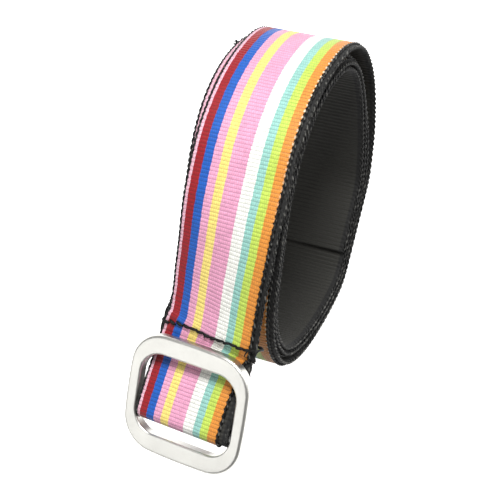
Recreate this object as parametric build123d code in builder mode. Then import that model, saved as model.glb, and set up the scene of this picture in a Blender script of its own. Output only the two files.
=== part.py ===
from build123d import *
import math
import os

# A coiled webbing strap with a sewn-on striped ribbon and an open ring buckle.
# Millimetres, +Z up. The coil lies on its back with its lower run flat on the
# floor, the strap's width runs along Y, and the buckle end springs out to +X.

# ---- webbing, ribbon and thread ------------------------------------------------
WEB_WIDTH = 38.0
WEB_THICK = 1.25
RIBBON_WIDTH = 35.0
RIBBON_THICK = 0.65
RIBBON_SHIFT = -0.5        # the ribbon is sewn on a little off centre
STRAP_THICK = WEB_THICK + RIBBON_THICK
THREAD_WIDTH = 0.6         # sewing thread laid along each edge of the ribbon
THREAD_THICK = 0.5

# ---- coil ------------------------------------------------------------------------
COIL_X, COIL_Y, COIL_Z = -21.3, 4.5, 48.0
LAYER_PITCH = 2.15         # radial step between tight turns
SIDE_STEP = 0.35           # each inner turn sits this much further to -Y
SIDE_BULGE = 1.7           # the second turn slips this much further still, beside
BULGE_START, BULGE_SPAN = 420, 180      # the first one's upper far side
START_ANGLE = 90           # where the free run joins the coil
FULL_TURN = 360
TAIL_ANGLE = 1369          # where the tail ends, on the inside of the lower run
STEP_ANGLE = 10
FLAT_START, FLAT_END = 260, 290         # the part of the first turn that is flat on the floor
FLAT_TRIM = 0.02
FLOOR_SIZE = 60.0
FLOOR_ALIGN = (Align.CENTER, Align.CENTER, Align.MAX)
TABLE_STEP = 15

# outer radius of the first turn, every 15 degrees from 90 to 450
FIRST_TURN = [
    48.0, 49.9, 52.1, 54.6, 57.5, 60.6,        # upper side to the far end
    61.3, 58.8, 55.5, 52.9, 51.1, 50.3,        # far end to the lower side
    48.9, 50.6, 54.0, 54.6, 56.1, 59.1,        # floor to the near end
    61.6, 60.4, 56.0, 49.6, 45.7, 45.1, 45.85,  # near end to under the free run
]
# slack between the first and second turns, every 15 degrees from 450 to 810
SECOND_TURN_SLACK = [
    0.0, 0.0, 0.0, 0.2, 0.6, 1.4,
    3.0, 4.6, 5.0, 4.0, 2.2, 0.8,
    0.0, 0.0, 0.0, 0.2, 0.5, 1.0,
    1.2, 1.0, 0.6, 0.2, 0.0, 0.0, 0.0,
]

# ---- free run from the sewn loop up to the coil ----------------------------------
# middle of the outer face from the coil's centre line: x, y and z, then the
# strap's twist and lean there in degrees
FREE_RUN = [
    (54.6, -2.8, 82.3, 9.5, 3.5),
    (48.0, -2.1, 84.3, 10.0, 3.5),
    (43.0, -1.5, 85.9, 10.0, 3.5),
    (34.0, -0.7, 88.9, 9.0, 2.8),
    (25.0, -0.25, 91.8, 7.2, 1.8),
    (16.0, -0.1, 94.2, 4.5, 0.8),
    (8.0, 0.0, 95.5, 1.7, 0.2),
]

# ---- ring buckle --------------------------------------------------------------------
RING_WIDTH = 49.5          # across the strap
RING_LENGTH = 45.5         # along the strap
RING_THICK = 4.6
RING_BULGE = 1.2           # how far each outer side bows out
RING_CORNER = 13.0
RING_EDGE = 1.3
OPENING_WIDTH = 39.8
OPENING_LENGTH = 30.6
OPENING_CORNER = 8.5
OPENING_EDGE = 0.8
BAR_DIAMETER = 3.5
BAR_SEAT = 3.0             # depth of each bar end in the ring's side
BAR_OFFSET = 7.2           # the bar sits this far from the ring's middle
RUNNING_CLEARANCE = 0.05   # loop over the bar, radial

BAR_POSITION = (67.15, -0.12, 76.75)
BUCKLE_TURN = (6.1, 15.5, -2.6)     # twist, droop and lean of the ring in degrees

# ---- sewn loop, in the ring's frame: u towards the free end, w outward ----------------
LOOP_SHIFT = 0.1           # the strap sits off centre in the ring
LOOP_RADIUS = BAR_DIAMETER / 2 + RUNNING_CLEARANCE + STRAP_THICK
WRAP_START, WRAP_END, WRAP_STEP = -100, 108, 16
FRONT_LAYER = [(-7.2, 1.7), (-13.3, -0.35), (-20.3, -2.75), (-25.8, -3.9), (-30.1, -4.6)]
BACK_LAYER = [(-20.3, -7.4), (-13.3, -6.0), (-7.2, -4.8)]
SEWN_SECTIONS = 4          # front sections that the back ply lies against
PLY_GAP = 0.1
PLIES_THICK = 2 * STRAP_THICK + PLY_GAP

STITCH_LENGTH = 1.2
STITCH_THICK = 0.45
STITCH_GAP = 0.08
STITCH_COUNT = 13
STITCH_WAIST = 0.3         # depth of the dimple between two stitches


def table_value(values, position):
    """Smooth value between the entries of an evenly spaced table."""
    position = max(0.0, min(position, len(values) - 1.001))
    i = int(position)
    f = position - i
    before, here = values[max(i - 1, 0)], values[i]
    after, beyond = values[i + 1], values[min(i + 2, len(values) - 1)]
    bend = 2 * before - 5 * here + 4 * after - beyond + f * (3 * (here - after) + beyond - before)
    return here + 0.5 * f * (after - before + f * bend)


def coil_radius(angle):
    """Outer radius of the spiral; each turn repeats the one outside it."""
    second_start = START_ANGLE + FULL_TURN
    if angle <= second_start:
        return table_value(FIRST_TURN, (angle - START_ANGLE) / TABLE_STEP)
    radius = coil_radius(angle - FULL_TURN) - LAYER_PITCH
    if angle <= second_start + FULL_TURN:
        radius -= table_value(SECOND_TURN_SLACK, (angle - second_start) / TABLE_STEP)
    return radius


def coil_point(angle):
    """Middle of the strap's outer face; the floor flattens every turn."""
    radius = coil_radius(angle)
    turns = (angle - START_ANGLE) / FULL_TURN
    bulge = (angle - BULGE_START) / BULGE_SPAN
    slip = SIDE_BULGE * math.sin(math.pi * bulge) ** 2 if 0 < bulge < 1 else 0
    return Vector(
        COIL_X + radius * math.cos(math.radians(angle)),
        COIL_Y - SIDE_STEP * turns - slip,
        max(COIL_Z + radius * math.sin(math.radians(angle)), int(turns) * LAYER_PITCH),
    )


def width_direction(twist, lean):
    """Direction of the strap's width, tipped by a twist and a lean."""
    twist, lean = math.radians(twist), math.radians(lean)
    return Vector(math.sin(lean), math.cos(lean) * math.cos(twist), math.cos(lean) * math.sin(twist))


buckle_plane = Plane(Location(BAR_POSITION, BUCKLE_TURN))
ring_back = Plane(
    origin=buckle_plane.origin - buckle_plane.x_dir * BAR_OFFSET - buckle_plane.z_dir * RING_THICK / 2,
    x_dir=buckle_plane.x_dir, z_dir=buckle_plane.z_dir)
bar_plane = Plane(origin=BAR_POSITION, z_dir=buckle_plane.y_dir)


def loop_point(u, w):
    return (buckle_plane.origin + buckle_plane.x_dir * u
            + buckle_plane.y_dir * LOOP_SHIFT + buckle_plane.z_dir * w)


def sections(points, widths):
    """A plane across the strap at each point: x along its width, y outward."""
    planes = []
    for i, point in enumerate(points):
        back = point - points[max(i - 1, 0)]
        ahead = points[min(i + 1, len(points) - 1)] - point
        if back.length and ahead.length:
            heading = back * (ahead.length / back.length) + ahead * (back.length / ahead.length)
        else:
            heading = back + ahead
        heading = heading.normalized()
        width = widths[i] - heading * widths[i].dot(heading)
        planes.append(Plane(origin=point, x_dir=width, z_dir=heading * -1))
    return planes


# ---- the strap's path, from the sewn loop's back ply to the tail -----------------------
front_points = [loop_point(u, w) for u, w in FRONT_LAYER]
front_widths = [buckle_plane.y_dir] * len(FRONT_LAYER)
for x, y, z, twist, lean in FREE_RUN:
    front_points.append(Vector(COIL_X + x, COIL_Y + y, z))
    front_widths.append(width_direction(twist, lean))
coil_angles = [a for a in range(START_ANGLE, TAIL_ANGLE, STEP_ANGLE) if not FLAT_START < a < FLAT_END]
for angle in [*coil_angles, TAIL_ANGLE]:
    front_points.append(coil_point(angle))
    front_widths.append(Vector(0, 1, 0))
front = sections(front_points, front_widths)

# the back ply lies against the front one, then parts from it to go round the bar
sewn_start = len(FRONT_LAYER) - 2
sewn = front[sewn_start:sewn_start + SEWN_SECTIONS][::-1]
back_points = [plane.origin - plane.y_dir * PLIES_THICK for plane in sewn]
back_widths = [plane.x_dir for plane in sewn]
for u, w in BACK_LAYER:
    back_points.append(loop_point(u, w))
    back_widths.append(buckle_plane.y_dir)
for wrap in range(WRAP_START, WRAP_END + 1, WRAP_STEP):
    turned = math.radians(wrap)
    back_points.append(loop_point(LOOP_RADIUS * math.cos(turned), LOOP_RADIUS * math.sin(turned)))
    back_widths.append(buckle_plane.y_dir)

path = sections(back_points + front_points, back_widths + front_widths)

# the flat part is straight, so the sections at its two ends are square to the floor,
# and it is pressed a little below the floor, to be trimmed to a true plane
flat = len(path) - len(front) + len(FRONT_LAYER) + len(FREE_RUN) + coil_angles.index(FLAT_START)
flat_middle = (path[flat].origin + path[flat + 1].origin) / 2
for i in (flat, flat + 1):
    path[i] = Plane(origin=(path[i].origin.X, flat_middle.Y, -FLAT_TRIM), x_dir=(0, 1, 0), z_dir=(-1, 0, 0))


def band(label, width, thick, middle, top):
    """A band along the whole strap, its outer face `top` above the ribbon's."""
    with BuildPart() as strip:
        for plane in path:
            with BuildSketch(plane):
                with Locations((middle, top - thick / 2)):
                    Rectangle(width, thick)
        loft(ruled=True)
        with Locations((flat_middle.X, flat_middle.Y, 0)):
            Box(FLOOR_SIZE, FLOOR_SIZE, FLOOR_SIZE, align=FLOOR_ALIGN, mode=Mode.SUBTRACT)
    strip.part.label = label
    return strip.part


# ---- strap: webbing, ribbon, and the thread along each ribbon edge -----------------------
ribbon_left = RIBBON_SHIFT - RIBBON_WIDTH / 2
ribbon_right = RIBBON_SHIFT + RIBBON_WIDTH / 2
thread_top = THREAD_THICK - RIBBON_THICK
strap_pieces = [
    band("webbing", WEB_WIDTH, WEB_THICK, 0, -RIBBON_THICK),
    band("striped_ribbon", RIBBON_WIDTH, RIBBON_THICK, RIBBON_SHIFT, 0),
    band("edge_thread_left", THREAD_WIDTH, THREAD_THICK, ribbon_left - THREAD_WIDTH / 2, thread_top),
    band("edge_thread_right", THREAD_WIDTH, THREAD_THICK, ribbon_right + THREAD_WIDTH / 2, thread_top),
]

# ---- the seam that closes the loop: one thread round both plies ---------------------------
seam_plane = front[len(FRONT_LAYER)]
with BuildPart() as loop_stitch:
    with BuildSketch(seam_plane):
        with Locations((0, -PLIES_THICK / 2)):
            inner = (WEB_WIDTH + 2 * STITCH_GAP, PLIES_THICK + 2 * STITCH_GAP)
            Rectangle(inner[0] + 2 * STITCH_THICK, inner[1] + 2 * STITCH_THICK)
            Rectangle(*inner, mode=Mode.SUBTRACT)
        stitch_top = STITCH_GAP + STITCH_THICK
        with Locations((0, stitch_top)):
            with GridLocations(WEB_WIDTH / STITCH_COUNT, 1, STITCH_COUNT - 1, 1):
                Circle(STITCH_WAIST, mode=Mode.SUBTRACT)
    extrude(amount=STITCH_LENGTH / 2, both=True)
loop_stitch.part.label = "loop_stitch"

# ---- ring buckle: a rounded square ring with bowed sides and a fixed cross bar --------------
with BuildPart() as buckle_ring:
    with BuildSketch(ring_back) as outline:
        half_length, half_width = RING_LENGTH / 2, RING_WIDTH / 2
        corner_x, corner_y = half_length - RING_BULGE, half_width - RING_BULGE
        with BuildLine():
            ThreePointArc((-corner_x, -corner_y), (0, -half_width), (corner_x, -corner_y))
            ThreePointArc((corner_x, -corner_y), (half_length, 0), (corner_x, corner_y))
            ThreePointArc((corner_x, corner_y), (0, half_width), (-corner_x, corner_y))
            ThreePointArc((-corner_x, corner_y), (-half_length, 0), (-corner_x, -corner_y))
        make_face()
        fillet(outline.vertices(), RING_CORNER)
        RectangleRounded(OPENING_LENGTH, OPENING_WIDTH, OPENING_CORNER, mode=Mode.SUBTRACT)
    extrude(amount=RING_THICK)
    flats = buckle_ring.faces().filter_by(ring_back)
    fillet([edge for flat in flats for edge in flat.outer_wire().edges()], RING_EDGE)
    flats = buckle_ring.faces().filter_by(ring_back)
    fillet([edge for flat in flats for wire in flat.inner_wires() for edge in wire.edges()], OPENING_EDGE)
    # blind seats for the cross bar's ends
    with BuildSketch(bar_plane):
        Circle(BAR_DIAMETER / 2)
    extrude(amount=OPENING_WIDTH / 2 + BAR_SEAT, both=True, mode=Mode.SUBTRACT)
buckle_ring.part.label = "buckle_ring"

with BuildPart() as cross_bar:
    with BuildSketch(bar_plane):
        Circle(BAR_DIAMETER / 2)
    extrude(amount=OPENING_WIDTH / 2 + BAR_SEAT, both=True)
cross_bar.part.label = "cross_bar"

# ---- files -------------------------------------------------------------------------------------
os.makedirs("parts", exist_ok=True)
for piece in [*strap_pieces, loop_stitch.part, buckle_ring.part, cross_bar.part]:
    export_step(piece, f"parts/{piece.label}.step")

strap_length = sum((path[i + 1].origin - path[i].origin).length for i in range(len(path) - 1))
print("hinge axis", buckle_plane.y_dir, "strap length", round(strap_length))
print("flat middle", flat_middle, "tail", path[-1].origin)
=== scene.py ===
"""A coiled webbing strap with a striped ribbon and a ring buckle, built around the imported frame."""
import math

import bpy
import numpy as np
from mathutils import Matrix, Vector


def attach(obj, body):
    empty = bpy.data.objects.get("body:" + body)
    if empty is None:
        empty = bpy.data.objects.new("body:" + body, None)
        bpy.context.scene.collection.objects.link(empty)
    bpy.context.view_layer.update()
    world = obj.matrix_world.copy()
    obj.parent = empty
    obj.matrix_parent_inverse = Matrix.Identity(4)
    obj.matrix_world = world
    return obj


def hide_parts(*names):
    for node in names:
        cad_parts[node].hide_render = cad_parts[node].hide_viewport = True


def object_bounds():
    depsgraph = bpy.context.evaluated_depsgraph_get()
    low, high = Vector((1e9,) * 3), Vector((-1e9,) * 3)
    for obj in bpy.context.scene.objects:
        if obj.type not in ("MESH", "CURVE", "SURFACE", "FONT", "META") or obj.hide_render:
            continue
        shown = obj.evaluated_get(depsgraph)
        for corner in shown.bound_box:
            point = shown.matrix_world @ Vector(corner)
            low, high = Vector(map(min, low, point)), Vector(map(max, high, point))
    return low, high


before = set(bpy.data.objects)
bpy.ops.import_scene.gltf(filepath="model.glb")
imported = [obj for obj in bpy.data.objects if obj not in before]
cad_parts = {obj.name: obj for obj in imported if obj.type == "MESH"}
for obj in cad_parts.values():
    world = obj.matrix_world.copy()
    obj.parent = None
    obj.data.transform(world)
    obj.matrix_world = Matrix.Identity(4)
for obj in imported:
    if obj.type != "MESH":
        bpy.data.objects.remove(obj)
cad_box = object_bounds()
MM = 0.001

# ---- strap sizes, millimetres ------------------------------------------------------
WEB_WIDTH = 38.0
WEB_THICK = 1.25
RIBBON_WIDTH = 35.0
RIBBON_THICK = 0.65
RIBBON_SHIFT = -0.5
STRAP_THICK = WEB_THICK + RIBBON_THICK
PLIES_THICK = 2 * STRAP_THICK + 0.1

# ---- coil, free run and sewn loop, as in the CAD source ------------------------------
COIL_X, COIL_Y, COIL_Z = -21.3, 4.5, 48.0
LAYER_PITCH = 2.15
SIDE_STEP = 0.35
SIDE_BULGE, BULGE_START, BULGE_SPAN = 3.2, 420, 180
START_ANGLE, TAIL_ANGLE, STEP_ANGLE, TABLE_STEP = 90, 1369, 10, 15
FULL_TURN = 360
FIRST_TURN = [
    48.0, 49.9, 52.1, 54.6, 57.5, 60.6,
    61.3, 58.8, 55.5, 52.9, 51.1, 50.3,
    48.9, 50.6, 54.0, 54.6, 56.1, 59.1,
    61.6, 60.4, 56.0, 49.6, 45.7, 45.1, 45.85,
]
SECOND_TURN_SLACK = [
    0.0, 0.0, 0.0, 0.2, 0.6, 1.4,
    3.0, 4.6, 5.0, 4.0, 2.2, 0.8,
    0.0, 0.0, 0.0, 0.2, 0.5, 1.0,
    1.2, 1.0, 0.6, 0.2, 0.0, 0.0, 0.0,
]
FREE_RUN = [
    (54.6, -2.8, 82.3, 9.5, 3.5),
    (48.0, -2.1, 84.3, 10.0, 3.5),
    (43.0, -1.5, 85.9, 10.0, 3.5),
    (34.0, -0.7, 88.9, 9.0, 2.8),
    (25.0, -0.25, 91.8, 7.2, 1.8),
    (16.0, -0.1, 94.2, 4.5, 0.8),
    (8.0, 0.0, 95.5, 1.7, 0.2),
]
BAR_POSITION = np.array((67.15, -0.12, 76.75))
BUCKLE_TURN = (6.1, 15.5, -2.6)
BAR_RADIUS = 1.75
LOOP_SHIFT = 0.1
LOOP_RADIUS = BAR_RADIUS + 0.05 + STRAP_THICK
FRONT_LAYER = [(-7.2, 1.7), (-13.3, -0.35), (-20.3, -2.75), (-25.8, -3.9), (-30.1, -4.6)]
BACK_LAYER = [(-20.3, -7.4), (-13.3, -6.0), (-7.2, -4.8)]
WRAP_ANGLES = range(-100, 109, 16)
PATH_SAMPLES = 14000

# ---- sewn end: drawn aside at the seam, narrowed where it goes round the bar --------------------
SEAM_DRAW, SEAM_DRAW_AHEAD, SEAM_DRAW_BEHIND = 1.5, 22.0, 13.0
LOOP_MIDDLE, LOOP_REACH, LOOP_PLATEAU = 55.0, 32.0, 1.35
LOOP_GATHER, LOOP_SLIP, LOOP_SPREAD = 0.05, 0.85, 1.0

# ---- ribs ---------------------------------------------------------------------------------------
RIB_ROUNDNESS = 0.6
STATIONS_PER_RIB = (0, 0.2, 0.5, 0.8)
WEB_RIB, WEB_GROOVE = 1.65, 0.27
RIBBON_RIB, RIBBON_GROOVE = 1.42, 0.13
RIB_UNEVENNESS, RIB_DRIFT = 0.25, [(1.0, 2.9, 0), (1.0, 7.1, 2)]
YARN = 0.8

# ---- webbing's cross-section and its beaded margins ---------------------------------------------
WEB_COLUMNS = (-18.6, -18.0, -17.2, -14, -7, 0, 7, 14, 17.2, 18.0, 18.6)
EDGE_LEVELS, EDGE_FULLNESS, EDGE_ROUNDING = (0.25, 0.0, -0.25), 1.4, 0.6
MARGIN, MARGIN_BLEND, MARGIN_THINNING = 17.2, 1.2, 0.1
BEAD_PITCH, BEAD_SLANT, BEAD_STAGGER, BEAD_DEPTH, BEAD_NIP = 2.4, 1.5, 0.6, 0.5, 0.55
BEAD_DRIFT = [(0.35, 5.3, 0), (0.25, 2.1, 2)]
EDGE_DRIFT = [(0.08, 9.3, 0), (0.07, 3.7, 1)]
RIGHT_FULLNESS, LEFT_FULLNESS = 0.4, 0.35

# ---- ribbon's cross-section and its scalloped margins -------------------------------------------
RIBBON_COLUMNS = (-17.35, -17.0, -16.3, -13, -9, -4.5, 0, 4.5, 9, 13, 16.3, 17.0, 17.35)
RIBBON_UNDER = (17.0, 8.5, -8.5, -17.0)
RIM_DEPTH = 0.35
PICOT, PICOT_BLEND, PICOT_STAGGER, PICOT_DROP = 16.4, 0.9, 0.5, 0.1
PICOT_DRIFT = [(0.4, 4.1, 0)]
RIGHT_SCALLOP, LEFT_SCALLOP = 0.75, 0.3
TAIL_HEM = 0.9

# ---- cords: (place across the strap, height, strand radius) -------------------------------------
TWIST_PITCH, CORD_STEP, CORD_SIDES = 4.8, 0.5, 5
TWIST_DRIFT, TWIST_JITTER = (0.5, 6.1, 0), (0.4, 2.7)
# turn of the painted highlight round each cord strand, from the strand's outward side
HIGHLIGHT_TURN = 0.9
SELVEDGE_DEPTH = RIBBON_THICK + WEB_THICK / 2
SELVEDGE_DRAW = 1.0
LEFT_CORDS = [
    (RIBBON_SHIFT - RIBBON_WIDTH / 2 - 0.45, -RIBBON_THICK + 0.35, 0.27),
    (-18.85, -SELVEDGE_DEPTH, 0.34),
]
RIGHT_CORDS = [
    (RIBBON_SHIFT + RIBBON_WIDTH / 2 + 0.4, -RIBBON_THICK + 0.4, 0.31),
    (19.1, -SELVEDGE_DEPTH, 0.34),
]
TUFT_AT, TUFT_STRANDS = 547.0, 5

# ---- seam ---------------------------------------------------------------------------------------
STITCHES, STITCH_SIDES = 14, 8
SEAM_SKEW, SEAM_DROP = 0.14, -1.0
SEAM_LEFT, SEAM_RIGHT = -19.2, 20.3
THREAD_LIFT, STITCH_ARCH, STITCH_SINK = 0.2, 0.3, 0.1
STITCH_END_RADIUS, WRAP_RADIUS, WRAP_BULGE = 0.24, 0.4, 0.3
LOOSE_ENDS = [(-1.5, 1.0, 1.0), (17.0, 1.6, -1.0)]

# ---- stripes from left to right: width and display colour ---------------------------------------
STRIPES = [
    (1.0, (230, 180, 196)), (3.1, (148, 10, 24)), (3.2, (16, 88, 180)), (3.2, (228, 160, 190)),
    (3.4, (243, 219, 122)), (6.6, (228, 160, 190)), (4.35, (238, 238, 231)), (3.0, (147, 199, 189)),
    (3.2, (188, 213, 88)), (3.95, (219, 140, 52)),
]
PICOT_TIP = (240, 226, 200)

rng = np.random.default_rng(11)


# ---- the strap's path ------------------------------------------------------------------
def table_value(values, position):
    position = max(0.0, min(position, len(values) - 1.001))
    i = int(position)
    f = position - i
    before, here = values[max(i - 1, 0)], values[i]
    after, beyond = values[i + 1], values[min(i + 2, len(values) - 1)]
    bend = 2 * before - 5 * here + 4 * after - beyond + f * (3 * (here - after) + beyond - before)
    return here + 0.5 * f * (after - before + f * bend)


def coil_radius(angle):
    second_start = START_ANGLE + FULL_TURN
    if angle <= second_start:
        return table_value(FIRST_TURN, (angle - START_ANGLE) / TABLE_STEP)
    radius = coil_radius(angle - FULL_TURN) - LAYER_PITCH
    if angle <= second_start + FULL_TURN:
        radius -= table_value(SECOND_TURN_SLACK, (angle - second_start) / TABLE_STEP)
    return radius


def coil_point(angle):
    radius = coil_radius(angle)
    turns = (angle - START_ANGLE) / FULL_TURN
    bulge = (angle - BULGE_START) / BULGE_SPAN
    slip = SIDE_BULGE * math.sin(math.pi * bulge) ** 2 if 0 < bulge < 1 else 0
    turned = math.radians(angle)
    floor = int(turns) * LAYER_PITCH
    return (COIL_X + radius * math.cos(turned), COIL_Y - SIDE_STEP * turns - slip,
            max(COIL_Z + radius * math.sin(turned), floor))


def width_direction(twist, lean):
    twist, lean = math.radians(twist), math.radians(lean)
    return (math.sin(lean), math.cos(lean) * math.cos(twist), math.cos(lean) * math.sin(twist))


def unit(v):
    return v / np.linalg.norm(v, axis=-1, keepdims=True)


def frames(points, widths):
    """Heading, width and outward directions at each point of a polyline."""
    heading = unit(np.gradient(points, axis=0))
    width = unit(widths - heading * np.sum(widths * heading, axis=1, keepdims=True))
    return heading, width, np.cross(width, heading)


def spline(knots, values, at):
    """Natural cubic spline through values at knots, evaluated at `at`."""
    n = len(knots)
    h = np.diff(knots)[:, None]
    slope = np.diff(values, axis=0) / h
    system = np.eye(n)
    right = np.zeros_like(values)
    for i in range(1, n - 1):
        system[i, i - 1:i + 2] = h[i - 1, 0], 2 * (h[i - 1, 0] + h[i, 0]), h[i, 0]
        right[i] = 6 * (slope[i] - slope[i - 1])
    bend = np.linalg.solve(system, right)
    i = np.clip(np.searchsorted(knots, at) - 1, 0, n - 2)
    t, hi = (at - knots[i])[:, None], h[i]
    first = slope[i] - hi * (2 * bend[i] + bend[i + 1]) / 6
    return values[i] + t * (first + t * (bend[i] / 2 + t * (bend[i + 1] - bend[i]) / (6 * hi)))


turn_x, turn_y, turn_z = (Matrix.Rotation(math.radians(a), 3, k) for a, k in zip(BUCKLE_TURN, "XYZ"))
ring_u, ring_v, ring_w = np.array(turn_x @ turn_y @ turn_z).T


def loop_point(u, w):
    return BAR_POSITION + ring_u * u + ring_v * LOOP_SHIFT + ring_w * w


def strap_path():
    """Dense outer-face centreline, with its width and outward directions, against length."""
    front = [loop_point(u, w) for u, w in FRONT_LAYER]
    front_widths = [ring_v] * len(front)
    for x, y, z, twist, lean in FREE_RUN:
        front.append(np.array((COIL_X + x, COIL_Y + y, z)))
        front_widths.append(width_direction(twist, lean))
    for angle in [*range(START_ANGLE, TAIL_ANGLE, STEP_ANGLE), TAIL_ANGLE]:
        front.append(coil_point(angle))
        front_widths.append((0, 1, 0))
    front, front_widths = np.array(front, float), np.array(front_widths, float)
    _, width, outward = frames(front, front_widths)
    sewn = slice(len(FRONT_LAYER) - 2, len(FRONT_LAYER) + 2)
    back = list((front[sewn] - outward[sewn] * PLIES_THICK)[::-1])
    back += [loop_point(u, w) for u, w in BACK_LAYER]
    for wrap in WRAP_ANGLES:
        turned = math.radians(wrap)
        back.append(loop_point(LOOP_RADIUS * math.cos(turned), LOOP_RADIUS * math.sin(turned)))
    back_widths = [*width[sewn][::-1], *[ring_v] * (len(back) - 4)]
    points = np.vstack([back, front])
    widths = np.vstack([back_widths, front_widths])
    knots = np.concatenate([[0], np.cumsum(np.linalg.norm(np.diff(points, axis=0), axis=1))])
    fine = np.linspace(0, knots[-1], PATH_SAMPLES)
    line = spline(knots, points, fine)
    across = np.stack([np.interp(fine, knots, widths[:, k]) for k in range(3)], axis=1)
    length = np.concatenate([[0], np.cumsum(np.linalg.norm(np.diff(line, axis=0), axis=1))])
    _, width, outward = frames(line, across)
    seam = np.interp(knots[len(back) + len(FRONT_LAYER)], fine, length)
    return length, line, width, outward, seam


path_length, path_line, path_width, path_outward, seam_at = strap_path()
STRAP_LENGTH = path_length[-1]


def along_strap(s):
    """Centre point, width and outward directions at the lengths s."""
    def pick(values):
        return np.stack([np.interp(s, path_length, values[:, k]) for k in range(3)], axis=-1)
    return pick(path_line), unit(pick(path_width)), unit(pick(path_outward))


# ---- mesh helpers -------------------------------------------------------------------------
def swept_mesh(name, rings, attributes):
    """A closed tube from rings[station, point, xyz] in millimetres."""
    stations, count = rings.shape[:2]
    i = np.arange(stations - 1)[:, None] * count
    k = np.arange(count)[None, :]
    k_next = (k + 1) % count
    quads = np.stack([i + k, i + k_next, i + count + k_next, i + count + k], axis=-1).reshape(-1, 4)
    faces = quads.tolist()
    faces.append(list(range(count))[::-1])
    faces.append(list(range((stations - 1) * count, stations * count)))
    mesh = bpy.data.meshes.new(name)
    mesh.from_pydata((rings.reshape(-1, 3) * MM).tolist(), [], faces)
    for key, values in attributes.items():
        layer = mesh.attributes.new(key, "FLOAT", "POINT")
        layer.data.foreach_set("value", np.asarray(values, np.float32).ravel())
    mesh.shade_smooth()
    mesh.validate()
    obj = bpy.data.objects.new(name, mesh)
    bpy.context.scene.collection.objects.link(obj)
    return obj


def tube_rings(line, side, up, radius, sides):
    """Rings of a round tube round a line, given two directions across it."""
    turned = np.linspace(0, 2 * math.pi, sides, endpoint=False)
    radius = np.broadcast_to(np.asarray(radius, float), (len(line),))[:, None, None]
    return (line[:, None] + side[:, None] * np.cos(turned)[None, :, None] * radius
            + up[:, None] * np.sin(turned)[None, :, None] * radius)


def smoothstep(x):
    x = np.clip(x, 0, 1)
    return x * x * (3 - 2 * x)


def wander(s, waves):
    """An uneven drift along the strap, the sum of sine waves of (size, period, start)."""
    return sum(size * np.sin(s / period + start) for size, period, start in waves)


def rib(phase):
    """A rounded rib: 0 in the groove, 1 on the crest."""
    return np.abs(np.sin(math.pi * phase)) ** RIB_ROUNDNESS


def rib_stations(pitch, length):
    """Stations for every rib, closer together beside its groove, and the pitch that fits the length."""
    count = int(length / pitch)
    starts = np.arange(count)[:, None] * (length / count)
    stations = (starts + np.array(STATIONS_PER_RIB) * length / count).ravel()
    return np.append(stations, length), length / count


def drawn_aside(s):
    """How far the stitched end is drawn sideways, in millimetres."""
    reach = np.where(s > seam_at, SEAM_DRAW_AHEAD, SEAM_DRAW_BEHIND)
    return SEAM_DRAW * smoothstep(1 - np.abs(s - seam_at) / reach)


def in_loop(s):
    """1 where the strap goes round the bar, falling to 0 on the plies beyond the ring."""
    return smoothstep(LOOP_PLATEAU * (1 - np.abs(s - LOOP_MIDDLE) / LOOP_REACH))


def outline_mesh(name, s, across, height, extra):
    """A band along the strap from its cross-section at each station."""
    centre, width, outward = along_strap(s)
    centre = centre + width * drawn_aside(s)[:, None]
    rings = centre[:, None] + width[:, None] * across[..., None] + outward[:, None] * height[..., None]
    attributes = {"across": across, "along": np.broadcast_to(s[:, None], across.shape)}
    attributes.update(extra)
    return swept_mesh(name, rings, attributes)


def joined(name, parts):
    """One object from several."""
    with bpy.context.temp_override(active_object=parts[0], selected_editable_objects=parts):
        bpy.ops.object.join()
    parts[0].name = name
    parts[0].data.name = name
    return parts[0]


def stand_for(obj, node):
    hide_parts(node)
    return obj


# ---- webbing: ribbed across its width, with rope-like beads along both margins ------------------
def build_webbing():
    s, pitch = rib_stations(WEB_RIB, STRAP_LENGTH)
    flat, edge = np.array(WEB_COLUMNS), np.array(EDGE_LEVELS)
    rim = WEB_WIDTH / 2 - np.abs(edge) * EDGE_ROUNDING
    under, top = -np.ones(len(flat)), np.ones(len(flat))
    across = np.concatenate([flat, rim, flat[::-1], -rim])
    side = np.concatenate([under, -edge * EDGE_FULLNESS, top, edge * EDGE_FULLNESS])
    across = np.broadcast_to(across, (len(s), len(across))).copy()
    margin = smoothstep((np.abs(across) - MARGIN) / MARGIN_BLEND)
    handed = np.sign(across)
    slant = BEAD_SLANT * side * (np.abs(across) - MARGIN) + wander(s, BEAD_DRIFT)[:, None]
    bead = rib((s[:, None] + slant + BEAD_STAGGER * handed) / BEAD_PITCH)
    groove = WEB_GROOVE * (1 - rib(s[:, None] / pitch)) * (1 - margin)
    half = WEB_THICK / 2 * (1 - MARGIN_THINNING * margin)
    height = side * (half - groove - BEAD_DEPTH * (1 - bead) * margin)
    across -= handed * margin * BEAD_NIP * (1 - bead)
    across += wander(s, EDGE_DRIFT)[:, None] * margin
    left = LEFT_FULLNESS - LOOP_SPREAD * in_loop(s)[:, None]
    across += margin * np.where(handed > 0, RIGHT_FULLNESS, left)
    obj = outline_mesh("webbing_woven", s, across, height - SELVEDGE_DEPTH, {"bead": bead * margin})
    return stand_for(obj, "webbing")


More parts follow.
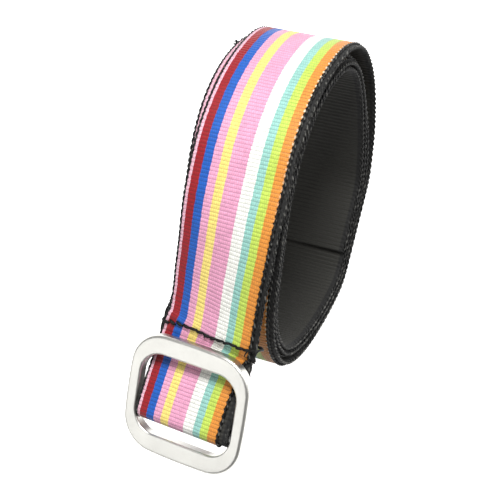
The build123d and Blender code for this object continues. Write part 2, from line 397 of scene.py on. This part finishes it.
# ---- striped ribbon: finer ribs, with a scalloped right edge -------------------------------------
def build_ribbon():
    s, pitch = rib_stations(RIBBON_RIB, STRAP_LENGTH - TAIL_HEM)
    half = RIBBON_WIDTH / 2
    top, under = np.array(RIBBON_COLUMNS), np.array(RIBBON_UNDER)
    across = np.concatenate([top, [half], under, [-half]])
    level = np.concatenate([top * 0, [-RIM_DEPTH], under * 0 - RIBBON_THICK, [-RIM_DEPTH]])
    is_top = np.concatenate([top * 0 + 1, [0.5], under * 0, [0.5]])
    across = np.broadcast_to(across, (len(s), len(across))).copy()
    margin = smoothstep((np.abs(across) - PICOT) / PICOT_BLEND)
    handed = np.sign(across)
    place = s[:, None] + PICOT_STAGGER * handed + wander(s, PICOT_DRIFT)[:, None]
    bead = rib(place / BEAD_PITCH)
    fast, slow = (wander(s, [wave]) for wave in RIB_DRIFT)
    uneven = 1 + RIB_UNEVENNESS * fast * slow
    groove = RIBBON_GROOVE * (1 - rib(s[:, None] / pitch)) * uneven[:, None]
    height = level - is_top * (groove + margin * PICOT_DROP)
    stripe = across + half
    across = across - margin * np.where(handed > 0, RIGHT_SCALLOP * (1 - bead), LEFT_SCALLOP * bead)
    loop = in_loop(s)[:, None]
    across = across * (1 - LOOP_GATHER * loop) - LOOP_SLIP * loop + RIBBON_SHIFT
    obj = outline_mesh("ribbon_woven", s, across, height, {"stripe": stripe, "bead": bead})
    return stand_for(obj, "striped_ribbon")


# ---- twisted cords along the edges of the ribbon and of the webbing ------------------------------
def build_edge_cords(name, node, cords, extra=()):
    """Two-strand cords, each given by its place across the strap, height and strand radius."""
    parts = []
    s = np.arange(CORD_STEP, STRAP_LENGTH - CORD_STEP, CORD_STEP)
    centre, width, outward = along_strap(s)
    for middle, level, strand_radius in cords:
        if level > -RIBBON_THICK:
            draw = LOOP_SLIP + LOOP_GATHER * (middle - RIBBON_SHIFT)
        else:
            draw = math.copysign(SELVEDGE_DRAW, middle)
        gathered = middle - in_loop(s) * draw
        core = centre + width * (gathered + drawn_aside(s))[:, None] + outward * level
        drift = wander(s, [TWIST_DRIFT, (*TWIST_JITTER, middle)])
        for strand in range(2):
            turned = 2 * math.pi * (s / TWIST_PITCH + strand / 2) + drift
            aside, lift = width * np.cos(turned)[:, None], outward * np.sin(turned)[:, None]
            line = core + strand_radius * (aside + lift)
            rings = tube_rings(line, width, outward, strand_radius, CORD_SIDES)
            # lift: how far each strand faces outward, turned a little round it; the thread material
            # paints a highlight where it is high
            shown = np.broadcast_to(np.sin(turned + HIGHLIGHT_TURN)[:, None], rings.shape[:2])
            along = np.broadcast_to(s[:, None], rings.shape[:2])
            parts.append(swept_mesh(f"{name}_{len(parts)}", rings, {"along": along, "lift": shown}))
    return stand_for(joined(name, [*parts, *extra]), node)


def build_tuft():
    """Short thread ends that stand out of the second turn's edge."""
    parts = []
    t = np.linspace(0, 1, 9)
    for i in range(TUFT_STRANDS):
        s = TUFT_AT + rng.uniform(-1.0, 1.0) + rng.uniform(-1.6, 1.6) * t
        reach = rng.uniform(0.6, 1.1)
        centre, width, outward = along_strap(s)
        out = -WEB_WIDTH / 2 + 0.3 - reach * t
        lift = -0.6 + rng.uniform(0.4, 1.6) * np.sin(2.2 * t)
        line = centre + width * out[:, None] + outward * lift[:, None]
        rings = tube_rings(line, np.cross(width, outward), outward, 0.42 - 0.15 * t, CORD_SIDES)
        still = np.zeros(rings.shape[:2])
        parts.append(swept_mesh(f"tuft_{i}", rings, {"along": still, "lift": still}))
    return parts


# ---- the seam across both plies -----------------------------------------------------------------
def seam_line(across, shift, height):
    """Points on the seam, at heights above the outer face, and directions along and off the strap."""
    s = seam_at + SEAM_DROP + SEAM_SKEW * across + shift
    centre, width, outward = along_strap(s)
    line = centre + width * (across + drawn_aside(s))[:, None] + outward * height[:, None]
    return line, np.cross(width, outward), outward


def thread_piece(name, line, side, up, radius, along):
    rings = tube_rings(line, side, up, radius, STITCH_SIDES)
    return swept_mesh(name, rings, {"along": np.broadcast_to(along[:, None], rings.shape[:2])})


def build_seam():
    parts = []
    pitch = (SEAM_RIGHT - SEAM_LEFT) / STITCHES
    t = np.linspace(-1, 1, 11)
    for face, level in ((1, THREAD_LIFT), (-1, -PLIES_THICK - THREAD_LIFT)):
        for i in range(STITCHES):
            middle = SEAM_LEFT + pitch * (i + 0.5)
            slope, shift = rng.normal(0, 0.16), rng.normal(0, 0.16)
            half = pitch * rng.uniform(0.5, 0.62)
            across = middle + t * half
            swell = rng.uniform(0.3, 0.42)
            arch = level + face * ((1 - t ** 2) * STITCH_ARCH - STITCH_SINK)
            line, ahead, outward = seam_line(across, shift + slope * t * half, arch)
            radius = STITCH_END_RADIUS + swell * np.sqrt(np.clip(1 - t ** 2, 0, 1))
            parts.append(thread_piece(f"stitch_{face}_{i}", line, ahead, outward, radius, across))
    t = np.linspace(0, 1, 13)
    for handed, end in ((-1, SEAM_LEFT), (1, SEAM_RIGHT)):
        across = end + handed * WRAP_BULGE * np.sin(math.pi * t)
        down = THREAD_LIFT - (PLIES_THICK + 2 * THREAD_LIFT) * t
        line, ahead, outward = seam_line(across, 0.2 * np.sin(5 * t), down)
        side = np.cross(outward, ahead)
        parts.append(thread_piece(f"wrap_{handed}", line, side, ahead, WRAP_RADIUS, t))
    for place, reach, lean in LOOSE_ENDS:
        across = place + 0.6 * np.sin(2 * t) * lean
        line, ahead, outward = seam_line(across, -reach * t, 0.3 + 0.9 * np.sin(2.4 * t))
        side = np.cross(outward, ahead)
        parts.append(thread_piece(f"loose_{place}", line, side, outward, 0.3 - 0.12 * t, t))
    return stand_for(joined("seam_stitches", parts), "loop_stitch")


# ---- materials ----------------------------------------------------------------------------------
def linear(*colour):
    """Linear colour from 0-255 display values."""
    shares = [c / 255 for c in colour]
    return (*[c / 12.92 if c < 0.0405 else ((c + 0.055) / 1.055) ** 2.4 for c in shares], 1)


class Shader:
    """A node material with short calls for its nodes."""

    def __init__(self, name, **values):
        self.material = bpy.data.materials.new(name)
        self.material.use_nodes = True
        self.tree = self.material.node_tree
        self.surface = self.tree.nodes["Principled BSDF"]
        for key, value in values.items():
            self.surface.inputs[key.replace("_", " ")].default_value = value

    def node(self, kind, output=0, inputs=(), **settings):
        made = self.tree.nodes.new(kind)
        for key, value in settings.items():
            setattr(made, key, value)
        for key, value in dict(inputs).items():
            if isinstance(value, bpy.types.NodeSocket):
                self.tree.links.new(value, made.inputs[key])
            else:
                made.inputs[key].default_value = value
        return made.outputs[output]

    def attribute(self, name):
        return self.node("ShaderNodeAttribute", "Fac", attribute_name=name)

    def math(self, operation, a, b=0.0):
        return self.node("ShaderNodeMath", inputs={0: a, 1: b}, operation=operation)

    def times(self, a, b):
        return self.math("MULTIPLY", a, b)

    def noise(self, scale, detail=3):
        place = self.node("ShaderNodeTexCoord", "Object")
        return self.node("ShaderNodeTexNoise", 0, {"Scale": scale, "Detail": detail, "Vector": place})

    def span(self, value, low, high, to_low, to_high):
        return self.node("ShaderNodeMapRange", 0, {
            "Value": value, "From Min": low, "From Max": high, "To Min": to_low, "To Max": to_high})

    def mix(self, factor, a, b, blend="MIX"):
        inputs = {0: factor, 6: a, 7: b}
        return self.node("ShaderNodeMix", 2, inputs, data_type="RGBA", blend_type=blend)

    def wave(self, value, pitch):
        """1 on a crest and 0 in a groove, once every pitch."""
        return self.math("ABSOLUTE", self.math("SINE", self.times(value, math.pi / pitch)))

    def bands(self, value, stops):
        """A colour for each band of value, from the (start, colour) of each."""
        made = self.tree.nodes.new("ShaderNodeValToRGB")
        made.color_ramp.interpolation = "CONSTANT"
        elements = made.color_ramp.elements
        while len(elements) < len(stops):
            elements.new(1.0)
        for element, (position, colour) in zip(elements, stops):
            element.position = position
            element.color = colour
        self.tree.links.new(value, made.inputs[0])
        return made.outputs[0]

    def use(self, socket, value):
        self.tree.links.new(value, self.surface.inputs[socket])

    def bump(self, height, distance, strength):
        self.use("Normal", self.node("ShaderNodeBump", 0, {
            "Height": height, "Distance": distance, "Strength": strength}))


def ribbon_material():
    m = Shader("ribbon_weave", Roughness=0.55, Specular_IOR_Level=0.4, Sheen_Weight=0.65,
               Sheen_Roughness=0.35)
    stripe, along, bead = m.attribute("stripe"), m.attribute("along"), m.attribute("bead")
    jag = m.times(m.math("SUBTRACT", m.noise(900, 2), 0.5), 0.5)
    place = m.math("ADD", stripe, jag)
    stops, start = [], 0.0
    for width, colour in STRIPES:
        stops.append((start / RIBBON_WIDTH, linear(*colour)))
        start += width
    colour = m.bands(m.math("DIVIDE", place, RIBBON_WIDTH), stops)
    tips = m.times(m.span(place, 34.3, 34.6, 0, 1), m.span(bead, 0.8, 0.95, 0, 1))
    tips = m.times(tips, m.span(along, 130, 170, 0, 1))
    colour = m.mix(tips, colour, linear(*PICOT_TIP))
    row = m.times(m.math("FLOOR", m.math("DIVIDE", along, RIBBON_RIB)), YARN / 2)
    yarn = m.wave(m.math("ADD", stripe, row), YARN)
    # painted shade: the stripe colours darken towards each rib groove, times the yarn weave and noise
    # tone
    shade = m.times(m.span(m.wave(along, RIBBON_RIB), 0, 0.5, 0.5, 1), m.span(yarn, 0, 0.8, 0.8, 1))
    shade = m.times(shade, m.span(m.noise(260), 0.3, 0.7, 0.93, 1.05))
    shade = m.times(shade, m.span(m.noise(1300, 2), 0.3, 0.7, 0.86, 1.1))
    tone = m.node("ShaderNodeCombineColor", 0, {0: shade, 1: shade, 2: shade})
    m.use("Base Color", m.mix(1.0, colour, tone, "MULTIPLY"))
    m.bump(m.math("ADD", m.times(yarn, 0.5), m.times(m.noise(2500, 2), 0.5)), 0.00012, 0.5)
    return m.material


def webbing_material():
    m = Shader("webbing_weave", Roughness=0.75, Sheen_Weight=0.05, Sheen_Roughness=0.45)
    across, along, bead = m.attribute("across"), m.attribute("along"), m.attribute("bead")
    fuzz = m.noise(1800, 3)
    # painted shade: the inside darkens from grey on the rib crests to near-black in the grooves, with
    # fuzz noise in the tone
    level = m.times(m.span(m.wave(along, WEB_RIB), 0, 0.6, 0.35, 1), m.span(fuzz, 0.3, 0.7, 0.7, 1.3))
    inside = m.mix(level, linear(4, 4, 3), linear(41, 40, 35))
    # painted highlight: on the margin, the bead crests turn light grey in noise patches, with
    # near-black between the beads
    crest = m.times(m.span(bead, 0.72, 1, 0, 1), m.span(m.noise(700, 3), 0.45, 0.6, 0, 1))
    edge = m.mix(crest, linear(10, 10, 9), linear(72, 71, 68))
    margin = m.span(m.math("ABSOLUTE", across), MARGIN - 0.3, MARGIN + 0.3, 0, 1)
    m.use("Base Color", m.mix(margin, inside, edge))
    m.bump(m.math("ADD", m.times(m.wave(across, 0.5), 0.5), m.times(fuzz, 0.6)), 0.00015, 0.6)
    return m.material


def thread_material():
    m = Shader("black_thread", Roughness=0.6, Specular_IOR_Level=0.3)
    patches = m.span(m.noise(600, 3), 0.46, 0.58, 0, 1)
    # painted highlight: light grey in noise patches where a strand faces outward, near-black thread
    # elsewhere
    painted_highlight = m.times(m.span(m.attribute("lift"), 0.3, 0.9, 0, 1), patches)
    m.use("Base Color", m.mix(painted_highlight, linear(8, 8, 7), linear(98, 97, 93)))
    m.bump(m.math("ADD", m.wave(m.attribute("along"), 0.55), m.noise(3000, 2)), 0.0001, 0.6)
    return m.material


def metal_material(name, colour, roughness, grain):
    m = Shader(name, Metallic=1.0)
    m.surface.inputs["Base Color"].default_value = linear(*colour)
    fine = m.noise(grain, 4)
    brushed = m.span(fine, 0.3, 0.7, roughness - 0.05, roughness + 0.05)
    handled = m.span(m.noise(90, 2), 0.3, 0.7, -0.03, 0.03)
    m.use("Roughness", m.math("ADD", brushed, handled))
    m.bump(fine, 0.00003, 0.5)
    return m.material


def wear(obj, material, body=None):
    obj.data.materials.clear()
    obj.data.materials.append(material)
    if body:
        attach(obj, body)


webbing = build_webbing()
ribbon = build_ribbon()
thread_left = build_edge_cords("edge_cord_left", "edge_thread_left", LEFT_CORDS, build_tuft())
thread_right = build_edge_cords("edge_cord_right", "edge_thread_right", RIGHT_CORDS)
seam = build_seam()

black_thread = thread_material()
wear(webbing, webbing_material(), "strap")
wear(ribbon, ribbon_material(), "strap")
wear(thread_left, black_thread, "strap")
wear(thread_right, black_thread, "strap")
wear(seam, black_thread, "strap")
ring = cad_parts["buckle_ring"]
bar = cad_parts["cross_bar"]
wear(ring, metal_material("satin_aluminium", (222, 221, 215), 0.36, 1500))
wear(bar, metal_material("brushed_bar", (190, 190, 188), 0.3, 2500))

# ---- floor, light and camera --------------------------------------------------------------------
FLOOR_HALF, FLOOR_GAP = 3.0, 0.0005
WHITE = (1, 1, 1, 1)
corners = [(x * FLOOR_HALF, y * FLOOR_HALF, 0) for x, y in ((-1, -1), (1, -1), (1, 1), (-1, 1))]
floor_mesh = bpy.data.meshes.new("floor")
floor_mesh.from_pydata(corners, [], [(0, 1, 2, 3)])
floor = bpy.data.objects.new("floor", floor_mesh)
floor.location.z = cad_box[0].z - FLOOR_GAP
bpy.context.scene.collection.objects.link(floor)
pale = Shader("pale_floor", Roughness=0.9)
pale.surface.inputs["Base Color"].default_value = (0.8, 0.8, 0.8, 1)
pale.surface.inputs["Emission Color"].default_value = WHITE
pale.surface.inputs["Emission Strength"].default_value = 0.9
floor_mesh.materials.append(pale.material)
floor.visible_diffuse = False


def area_light(name, direction, distance, size, power):
    """A round soft light aimed at the middle of the object."""
    light = bpy.data.lights.new(name, "AREA")
    light.shape = "DISK"
    light.size = size
    light.energy = power
    obj = bpy.data.objects.new(name, light)
    away = Vector(direction).normalized()
    obj.location = (cad_box[0] + cad_box[1]) / 2 + away * distance
    obj.rotation_euler = away.to_track_quat("Z", "Y").to_euler()
    bpy.context.scene.collection.objects.link(obj)


area_light("key", (-0.55, 0.12, 0.82), 1.1, 0.4, 15)
area_light("side_fill", (-0.35, 0.8, 0.45), 0.9, 0.5, 2.2)
area_light("ring_card", (0.46, -0.52, 0.72), 0.8, 0.7, 1.6)

world = bpy.data.worlds.new("studio")
world.use_nodes = True
world.node_tree.nodes["Background"].inputs["Color"].default_value = WHITE
world.node_tree.nodes["Background"].inputs["Strength"].default_value = 0.22
bpy.context.scene.world = world
bpy.context.scene.view_settings.view_transform = "Standard"

CAMERA_PLACE = Vector((1.48, 162.34, 499.87)) * MM
camera_data = bpy.data.cameras.new("camera")
camera_data.lens = 90.94
camera_data.sensor_width = 36
camera = bpy.data.objects.new("camera", camera_data)
look = Vector((0, -0.342, -0.940)).normalized()
right = Vector((-0.241, 0.912, -0.332)).normalized()
turned = Matrix((right, right.cross(look), -look)).transposed()
camera.matrix_world = Matrix.Translation(CAMERA_PLACE) @ turned.to_4x4()
bpy.context.scene.collection.objects.link(camera)
bpy.context.scene.camera = camera
